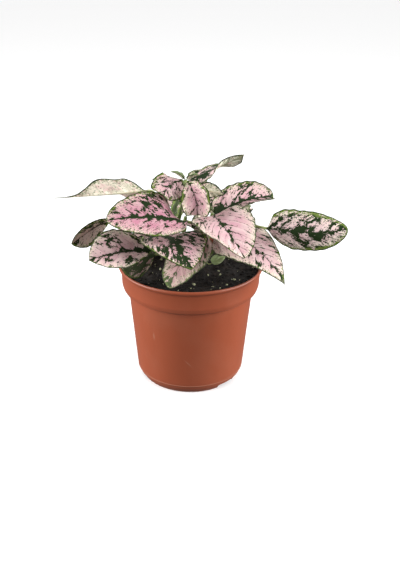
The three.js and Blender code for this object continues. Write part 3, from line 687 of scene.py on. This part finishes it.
def pot_plastic(settings):
    """Satin terracotta-coloured plastic, with faint flow marks, a little dust, one or two short scuffs, a
    painted highlight along the bead above the foot and painted shade over the collar and lip.
    """
    g = Graph("terracotta_plastic")
    place = g.place()
    x, y, z = g.split(place)
    flow = g.noise(g.combine(x, y, z * 0.12), 0.09, 3.0, 0.4)
    cloud = g.noise(place, 0.03, 3.0)
    grains = g.noise(place, 1.6)
    body = (flow.step(0.35, 0.7) * 0.2).between(settings.plastic, settings.plastic * 0.8)
    dusty = (cloud + grains * 0.25).step(0.6, 0.8) * 0.08 + (1.0 - z.step(2.0, 12.0)) * 0.08
    # A painted highlight: a thin line in the dust colour along the bead, where the bead's top catches the
    # light. The scuffs added to it below are real marks.
    scuff_and_bead_highlight = (z - BEAD_HEIGHT).bell(0.3) * 0.7
    for across, height, tilt in SCUFFS:
        above = z - height
        mark = (x - across + above * tilt).bell(0.45) * above.bell(2.2)
        scuff_and_bead_highlight = scuff_and_bead_highlight.larger(mark * y.step(0.0, -20.0) * 0.8)
    body = (dusty + scuff_and_bead_highlight).between(body, settings.dust)
    # Painted shade: the band from 72 to 88 mm up, over the collar and lip, is darkened.
    painted_collar_shade = z.step(72.0, 88.0) * 0.3
    body = painted_collar_shade.between(body, settings.plastic * 0.62)
    rough = cloud * 0.1 + 0.34 + dusty * 0.5 + scuff_and_bead_highlight * 0.5
    relief = grains * 0.5 + g.noise(place, 0.25) * 1.2
    return g.surface(body, rough, relief, 0.00008, 0.4, 0.42)


def peat(settings):
    """Damp, near-black peat with brown fibres and browner patches."""
    g = Graph("damp_peat")
    place = g.place()
    grain = g.noise(place, 0.9, 4.0)
    clod = g.noise(place, 0.22, 3.0)
    body = grain.step(0.45, 0.75).between(settings.peat, settings.peat * 3.2)
    body = (clod.step(0.5, 0.75) * 0.5).between(body, (0.035, 0.022, 0.014))
    return g.surface(body, clod * 0.45 + 0.55, grain, 0.0006, 0.8, 0.35)


def perlite(settings):
    """Pale, chalky bits, stained by the peat."""
    g = Graph("perlite")
    stain = g.noise(g.place(), 0.8, 3.0)
    body = stain.step(0.42, 0.62).between(settings.pale, (0.16, 0.15, 0.09))
    return g.surface(body, stain * 0.2 + 0.7, stain, 0.0003, 0.6)


def stem_skin(settings):
    """Green stem, browner and pinker near the soil, with fine lengthwise ridges."""
    g = Graph("green_stem_skin")
    place = g.place()
    x, y, z = g.split(place)
    streak = g.noise(g.combine(x, y, z * 0.1), 1.2)
    mottle = g.noise(place, 0.35)
    young = (z + mottle * 30.0).step(95.0, 130.0)
    body = young.between(settings.blush, settings.green)
    body = (streak.step(0.45, 0.7) * 0.35).between(body, (0.42, 0.44, 0.22))
    return g.surface(body, mottle * 0.2 + 0.45, streak, 0.0003, 0.5, 0.35)


def studio_paper(settings):
    """Plain white paper, lit a little from below."""
    return Graph("white_studio_paper").finish({
        "Base Color": (0.82, 0.82, 0.82, 1), "Roughness": 0.9, "Specular IOR Level": 0.1,
        "Emission Color": (1, 1, 1, 1), "Emission Strength": settings.paper_glow})


def white_surround(settings):
    """A white room: its brightness grows evenly along +Y, and it is dimmer below the floor's level."""
    g = Graph("white_surround", "worlds")
    _, y, z = g.split(g.value("TexCoord", {}, "Generated"))
    middle = (settings.behind + settings.before) / 2
    above = y * (settings.behind - middle) + middle
    under = (z * -1.0).step(0.0, 0.15)
    strength = above * (1.0 - under) + under * settings.below
    back = g.value("Background", {"Color": (1, 1, 1, 1), "Strength": strength})
    g.node("OutputWorld", {"Surface": back})
    return g.material


# ---- Pot and soil shapes ----


def rounded(profile, ease, steps=5):
    """A profile of [radius, height] corners with each inner corner rounded: a parabola from a point ease
    before the corner to one ease after it, drawn by a quadratic Bezier."""
    corner = np.asarray(profile, float)
    before, here, after = corner[:-2], corner[1:-1], corner[2:]
    back, on = before - here, after - here
    near = np.minimum(np.linalg.norm(back, axis=1), np.linalg.norm(on, axis=1))
    cut = np.minimum(ease, 0.45 * near)[:, None, None]
    t = np.linspace(0, 1, steps)[None, :, None]
    arc = (here[:, None] + unit(back)[:, None] * cut * (1 - t) ** 2 + unit(on)[:, None] * cut * t**2)
    return np.vstack([corner[:1], arc.reshape(-1, 2), corner[-1:]])


def turned(profile, sides):
    """A profile carried round the Z axis: each [radius, height] becomes a ring. It ends on the axis at both
    ends, in rings so small that they close it."""
    angle = 2 * np.pi * np.arange(sides) / sides
    radius, height = np.maximum(profile[:, :1], 0.02), profile[:, 1:]
    return np.stack([radius * np.cos(angle), radius * np.sin(angle), height + 0 * angle], -1)


def pot_profiles(height, rim):
    """The pot's outer wall from its foot up and its inner wall from the floor up, as [radius, height]."""
    outer = [(35.4, 0), (38.2, 4.2), (38.9, 6.3), (39.45, 6.8), (39.3, 7.5), (39.6, 8.6), (45.3, 68.7),
             (48.9, 70.8), (50, 74.2), (50.6, height - 3.5), (rim - 0.5, height - 2.6), (rim, height - 1.3),
             (rim - 0.4, height)]
    inner = [(37, POT_FLOOR[1]), (38.4, 8.8), (45.3 - POT_WALL, 69.5), (48.9 - POT_WALL, 71.6),
             (50 - POT_WALL, 74.6), (50.6 - POT_WALL, height - 2.6), (rim - 1.5, height)]
    return outer, inner


def pot_body(height, rim, material):
    """The pot: its profile turned about the axis, then notched at the foot and drained through the floor."""
    outer, inner = pot_profiles(height, rim)
    below, above = POT_FLOOR
    profile = [(0, below), (FOOT_INNER_RADIUS, below), (FOOT_INNER_RADIUS, 0), *outer, *inner[::-1], (0, above)]
    points, quads, caps = closed_skin(turned(rounded(profile, 0.6), POT_SIDES))
    body = add_mesh("nursery_pot", points, [quads, caps], [material])
    for azimuth in NOTCH_AZIMUTHS:
        cut_away(body, *block(NOTCH_SIZE, (NOTCH_DISTANCE, 0, 0)), azimuth)
    for azimuth in range(0, 360, 360 // DRAINS):
        cut_away(body, *rod(DRAIN_RADIUS, DRAIN_ROD[0], (DRAIN_DISTANCE, 0, DRAIN_ROD[1])), azimuth)
    body.data.shade_smooth()
    body.data.set_sharp_from_angle(angle=np.radians(38))
    return body


def block(size, centre):
    """Points and faces of a box."""
    corners = np.array([(x, y, z) for x in (-0.5, 0.5) for y in (-0.5, 0.5) for z in (-0.5, 0.5)])
    faces = [(0, 1, 3, 2), (4, 6, 7, 5), (0, 4, 5, 1), (2, 3, 7, 6), (0, 2, 6, 4), (1, 5, 7, 3)]
    return corners * size + centre, [np.array(faces)]


def rod(radius, length, centre):
    """Points and faces of a round rod along Z."""
    profile = np.array([(0, 0), (radius, 0), (radius, length), (0, length)], float)
    points, quads, caps = closed_skin(turned(profile, 48))
    return points + np.array(centre) - (0, 0, length / 2), [quads, caps]


def cut_away(body, points, faces, azimuth):
    """Turns a closed shape about the Z axis and takes it out of the body."""
    angle = np.radians(azimuth)
    turn = np.array([[np.cos(angle), -np.sin(angle), 0], [np.sin(angle), np.cos(angle), 0], [0, 0, 1]])
    cutter = add_mesh("cutter", points @ turn.T, faces, [])
    cut = body.modifiers.new("cut", "BOOLEAN")
    cut.operation, cut.object, cut.solver = "DIFFERENCE", cutter, "EXACT"
    made = bpy.data.meshes.new_from_object(body.evaluated_get(bpy.context.evaluated_depsgraph_get()))
    body.modifiers.clear()
    body.data = made
    bpy.data.objects.remove(cutter)


def soil_height(x, y, reach, edge, crown):
    """Height of the soil: a low crown with long lumps that fade out at the wall, and clods of three sizes."""
    r, angle = np.hypot(x, y), np.arctan2(y, x)
    across = np.clip(r / reach, 0, 1)
    lumps = np.sin(0.31 * r + 3 * angle) + np.sin(0.57 * r - 5 * angle + 1) * np.cos(2 * angle)
    height = edge + (crown - edge) * (1 - across**2) + 0.6 * lumps * (1 - across**4)
    clods = sum(tall * lattice_noise(x, y, wide, SEED + k) for k, (tall, wide) in enumerate(CLODS))
    return height + clods * (1 - 0.6 * across**6) - 0.2


def rough_bits(count, seed, size, squash, reach, surface):
    """Small angular lumps strewn over the soil. Each is a ball of 42 points from a once-divided icosahedron,
    pushed in and out at random, stretched, turned and set half into the surface."""
    pick = np.random.default_rng(seed)
    ball, faces = divided_icosahedron()
    shape = ball[None] * pick.uniform(0.72, 1.2, (count, len(ball), 1))
    shape = shape * pick.uniform(squash, 1.0, (count, 1, 3))
    turns, _ = np.linalg.qr(pick.normal(size=(count, 3, 3)))
    turns = turns * np.sign(np.linalg.det(turns))[:, None, None]
    radius = size[0] + (size[1] - size[0]) * pick.uniform(0, 1, count) ** 2.2
    shape = np.einsum("nij,nkj->nki", turns, shape) * radius[:, None, None]
    out = (reach - 1.6) * np.sqrt(pick.uniform(0, 1, count))
    angle = pick.uniform(0, 2 * np.pi, count)
    x, y = out * np.cos(angle), out * np.sin(angle)
    z = surface(x, y) + radius * pick.uniform(-0.1, 0.45, count)
    points = shape + np.stack([x, y, z], -1)[:, None]
    every = faces[None] + (np.arange(count) * len(ball))[:, None, None]
    return points.reshape(-1, 3), every.reshape(-1, 3)


def divided_icosahedron():
    """The 42 points and 80 faces of an icosahedron whose edges are halved and pushed out to a unit ball. Its
    corners are (0, 1, g) with every sign, turned round its three places, and its faces join those 2 apart."""
    g = (1 + 5**0.5) / 2
    corners = [np.roll((0.0, i, j * g), k) for i in (-1, 1) for j in (-1, 1) for k in range(3)]
    faces = np.array([f for f in combinations(corners, 3)
                      if all(np.linalg.norm(p - q) < 2.1 for p, q in combinations(f, 2))])
    inward = np.linalg.det(faces) < 0
    faces[inward] = faces[inward][:, ::-1]
    a, b, c = unit(faces).swapaxes(0, 1)
    ab, bc, ca = unit(a + b), unit(b + c), unit(c + a)
    small = np.concatenate([np.stack(t, 1) for t in ((a, ab, ca), (ab, b, bc), (ca, bc, c), (ab, bc, ca))])
    points, index = np.unique(np.round(small.reshape(-1, 3), 6) + 0.0, axis=0, return_inverse=True)
    return points, index.reshape(-1, 3)


# ---- Operators ----


class PLANT_OT_pot(Operator):
    """Make the thin plastic nursery pot"""

    bl_idname = "plant.pot"
    bl_label = "Pot"

    def execute(self, context):
        settings = context.scene.polka_dot_plant.pot
        body = pot_body(settings.height / MM, settings.rim_radius / MM, pot_plastic(settings))
        stand_for(body, "pot")
        return {"FINISHED"}


class PLANT_OT_soil(Operator):
    """Make the soil that fills the pot, with loose crumbs and pale bits on it"""

    bl_idname = "plant.soil"
    bl_label = "Soil"

    def execute(self, context):
        settings = context.scene.polka_dot_plant.soil
        pot = context.scene.polka_dot_plant.pot
        _, inner = pot_profiles(pot.height / MM, pot.rim_radius / MM)
        edge, crown = settings.edge / MM, settings.crown / MM
        wall = np.array(inner) - (SOIL_GAP, 0)
        wall[0] += (0, SOIL_GAP)
        reach = float(np.interp(edge, wall[:, 1], wall[:, 0]))
        surface = partial(soil_height, reach=reach, edge=edge, crown=crown)
        below = wall[wall[:, 1] < edge - 1]
        rings = turned(np.vstack([(0, wall[0, 1]), below, (reach, edge - 0.8)]), SOIL_SIDES)
        spread = np.linspace(1, 0.002, SOIL_RINGS)
        top = turned(np.stack([reach * spread, 0 * spread], -1), SOIL_SIDES)
        top[..., 2] = surface(top[..., 0], top[..., 1])
        points, quads, caps = closed_skin(np.concatenate([rings, top]))
        dark = peat(settings)
        bed = add_mesh("soil_bed", points, [quads, caps], [dark])
        stand_for(bed, "soil")
        for name, count, seed, size, squash, material in (
                ("soil_crumbs", settings.crumbs, SEED, (0.35, 2.0), 0.5, dark),
                ("perlite_bits", settings.perlite, SEED + 5, (0.35, 1.3), 0.6, perlite(settings))):
            points, faces = rough_bits(count, seed, size, squash, reach, surface)
            bits = add_mesh(name, points, [faces], [material])
            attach(bits, "root")
        return {"FINISHED"}


class PLANT_OT_stems(Operator):
    """Make the stems, each with the young leaves at its growing tip"""

    bl_idname = "plant.stems"
    bl_label = "Stems"

    def execute(self, context):
        plant = context.scene.polka_dot_plant
        skins = [stem_skin(plant.stems), *leaf_faces(plant.leaves)]
        for letter, controls in STEMS.items():
            made = self.stem(letter, controls, skins, plant.leaves)
            stand_for(made, "stem_" + letter)
        return {"FINISHED"}

    def stem(self, letter, controls, skins, settings):
        """A tube along the stem's Bezier, thinner towards its tip, with a swelling at each node, and a pair of
        folded young leaves on the tip."""
        t = np.linspace(0, 1, STEM_RINGS)
        place, along = bezier(controls, t)
        side = unit(np.cross(np.array([0, 1, 0]), along))
        other = np.cross(along, side)
        radius = STEM_RADIUS + (STEM_TIP_RADIUS - STEM_RADIUS) * t
        nodes = np.array([row["node"] for row in LEAVES.values() if row["stem"] == letter])
        radius = radius + STEM_SWELLING * np.exp(-((t[:, None] - nodes) / 0.018) ** 2).max(1)
        angle = 2 * np.pi * np.arange(STEM_SIDES) / STEM_SIDES
        ridged = radius[:, None] * (1 + 0.05 * np.cos(4 * angle))[None]
        outward = side[:, None] * np.cos(angle)[:, None] + other[:, None] * np.sin(angle)[:, None]
        points, quads, caps = closed_skin(place[:, None] + outward * ridged[..., None])
        parts = [(points, [quads, caps], np.zeros(len(quads) + len(caps), int),
                  {key: np.zeros((len(points), 3)) for key in ("lamina", "veining", "dress", "accent")})]
        for k, heading in enumerate(BUD_HEADINGS[letter]):
            row = dict(BUD, heading=heading)
            row["neck"] = place[-1] + along[-1] * 0.4 + blade_direction(row, np.zeros(1))[0] * 1.2
            dress = (*BUD_DRESS, ord(letter) + 7.3 * k)
            skin, faces, slots, attributes = leaf(row, place[-1] - along[-1], dress, settings, BUD_DETAIL)
            parts.append((skin, faces, slots + 1, attributes))
        return joined("stem_" + letter + "_with_buds", parts, skins)


def joined(name, parts, materials):
    """One object from several closed skins, each given as points, faces, slots and attributes."""
    points, faces, slots, attributes = zip(*parts)
    starts = np.cumsum([0] + [len(each) for each in points])
    faces = [each + start for group, start in zip(faces, starts) for each in group]
    attributes = {key: np.concatenate([each[key] for each in attributes]) for key in attributes[0]}
    return add_mesh(name, np.concatenate(points), faces, materials, np.concatenate(slots), attributes)


class PLANT_OT_leaves(Operator):
    """Make every leaf, with its stalk, veins and waved edge"""

    bl_idname = "plant.leaves"
    bl_label = "Leaves"

    def execute(self, context):
        settings = context.scene.polka_dot_plant.leaves
        faces = leaf_faces(settings)
        for name, row in LEAVES.items():
            root = bezier(STEMS[row["stem"]], [row["node"]])[0][0]
            skin, quads, slots, attributes = leaf(row, root, row["dress"], settings, LEAF_DETAIL)
            made = add_mesh(name + "_blade", skin, quads, faces, slots, attributes)
            stand_for(made, name)
        return {"FINISHED"}


class PLANT_OT_stage(Operator):
    """Make the white floor, the softboxes, the surround and the camera"""

    bl_idname = "plant.stage"
    bl_label = "Studio"

    def execute(self, context):
        settings = context.scene.polka_dot_plant.stage
        self.floor(settings)
        for name, way in (("left_softbox", -1), ("right_softbox", 1)):
            self.softbox(name, np.array(SOFTBOX_PLACE) * (way, 1, 1), settings.side_light)
        self.overhead(settings.top_light)
        context.scene.world = white_surround(settings)
        self.camera(context.scene)
        context.scene.view_settings.view_transform = "Standard"
        return {"FINISHED"}

    def floor(self, settings):
        corners = np.array([(-1, -1, 0), (1, -1, 0), (1, 1, 0), (-1, 1, 0)]) * (FLOOR_HALF / MM)
        sheet = add_mesh("studio_floor", corners, [np.array([[0, 1, 2, 3]])], [studio_paper(settings)])
        sheet.visible_diffuse = sheet.visible_glossy = False

    def put(self, name, data, place, right, back):
        """A lamp or camera at its place, its X axis along right and its Z axis along back."""
        turn = Matrix(np.stack([right, np.cross(back, right), back], -1).tolist()).to_4x4()
        made = bpy.data.objects.new(name, data)
        made.matrix_world = Matrix.Translation(place) @ turn
        bpy.context.scene.collection.objects.link(made)
        return made

    def overhead(self, strength):
        """A very wide, soft light from above and a little behind the plant, so its shadows are faint."""
        light = bpy.data.lights.new("overhead_light", "SUN")
        light.energy, light.angle = strength, np.radians(OVERHEAD_WIDTH)
        tilt = np.radians(OVERHEAD_TILT)
        self.put("overhead_light", light, (0, 0, 0), (1, 0, 0), (0, -np.sin(tilt), np.cos(tilt)))

    def softbox(self, name, place, power):
        """A square light that faces the middle of the plant."""
        light = bpy.data.lights.new(name, "AREA")
        light.energy, light.size = power, SOFTBOX_SIZE
        back = unit(place - PLANT_MIDDLE)
        self.put(name, light, place, unit(np.cross((0, 1, 0.001), back)), back)

    def camera(self, scene):
        """The camera looks down along +Y at its aim, rolled a little."""
        fall, roll = np.radians((CAMERA_FALL, CAMERA_ROLL))
        back = np.array((0, -np.cos(fall), np.sin(fall)))
        up = np.array((0, np.sin(fall), np.cos(fall)))
        data = bpy.data.cameras.new("studio_camera")
        data.lens, data.clip_start, data.clip_end = LENS, 0.01, 50
        right = np.array((1, 0, 0)) * np.cos(roll) + up * np.sin(roll)
        scene.camera = self.put("studio_camera", data, CAMERA_AIM + back * CAMERA_DISTANCE, right, back)


class PLANT_PT_panel(Panel):
    """The plant's operators and settings"""

    bl_label = "Potted polka dot plant"
    bl_space_type = "VIEW_3D"
    bl_region_type = "UI"
    bl_category = "Plant"

    def draw(self, context):
        settings = context.scene.polka_dot_plant
        for name in ("pot", "soil", "stems", "leaves", "stage"):
            group = getattr(settings, name)
            box = self.layout.box()
            box.operator("plant." + name)
            for key in group.bl_rna.properties.keys():
                if key not in ("rna_type", "name"):
                    box.prop(group, key)


CLASSES = (PotSettings, SoilSettings, StemSettings, LeafSettings, StageSettings, PlantSettings, PLANT_OT_pot,
           PLANT_OT_soil, PLANT_OT_stems, PLANT_OT_leaves, PLANT_OT_stage, PLANT_PT_panel)


def register():
    for made in CLASSES:
        bpy.utils.register_class(made)
    bpy.types.Scene.polka_dot_plant = PointerProperty(type=PlantSettings)


def unregister():
    del bpy.types.Scene.polka_dot_plant
    for made in reversed(CLASSES):
        bpy.utils.unregister_class(made)


def main():
    """Makes the whole plant and its studio."""
    register()
    bpy.ops.plant.pot()
    bpy.ops.plant.soil()
    bpy.ops.plant.stems()
    bpy.ops.plant.leaves()
    bpy.ops.plant.stage()


if __name__ == "__main__":
    main()
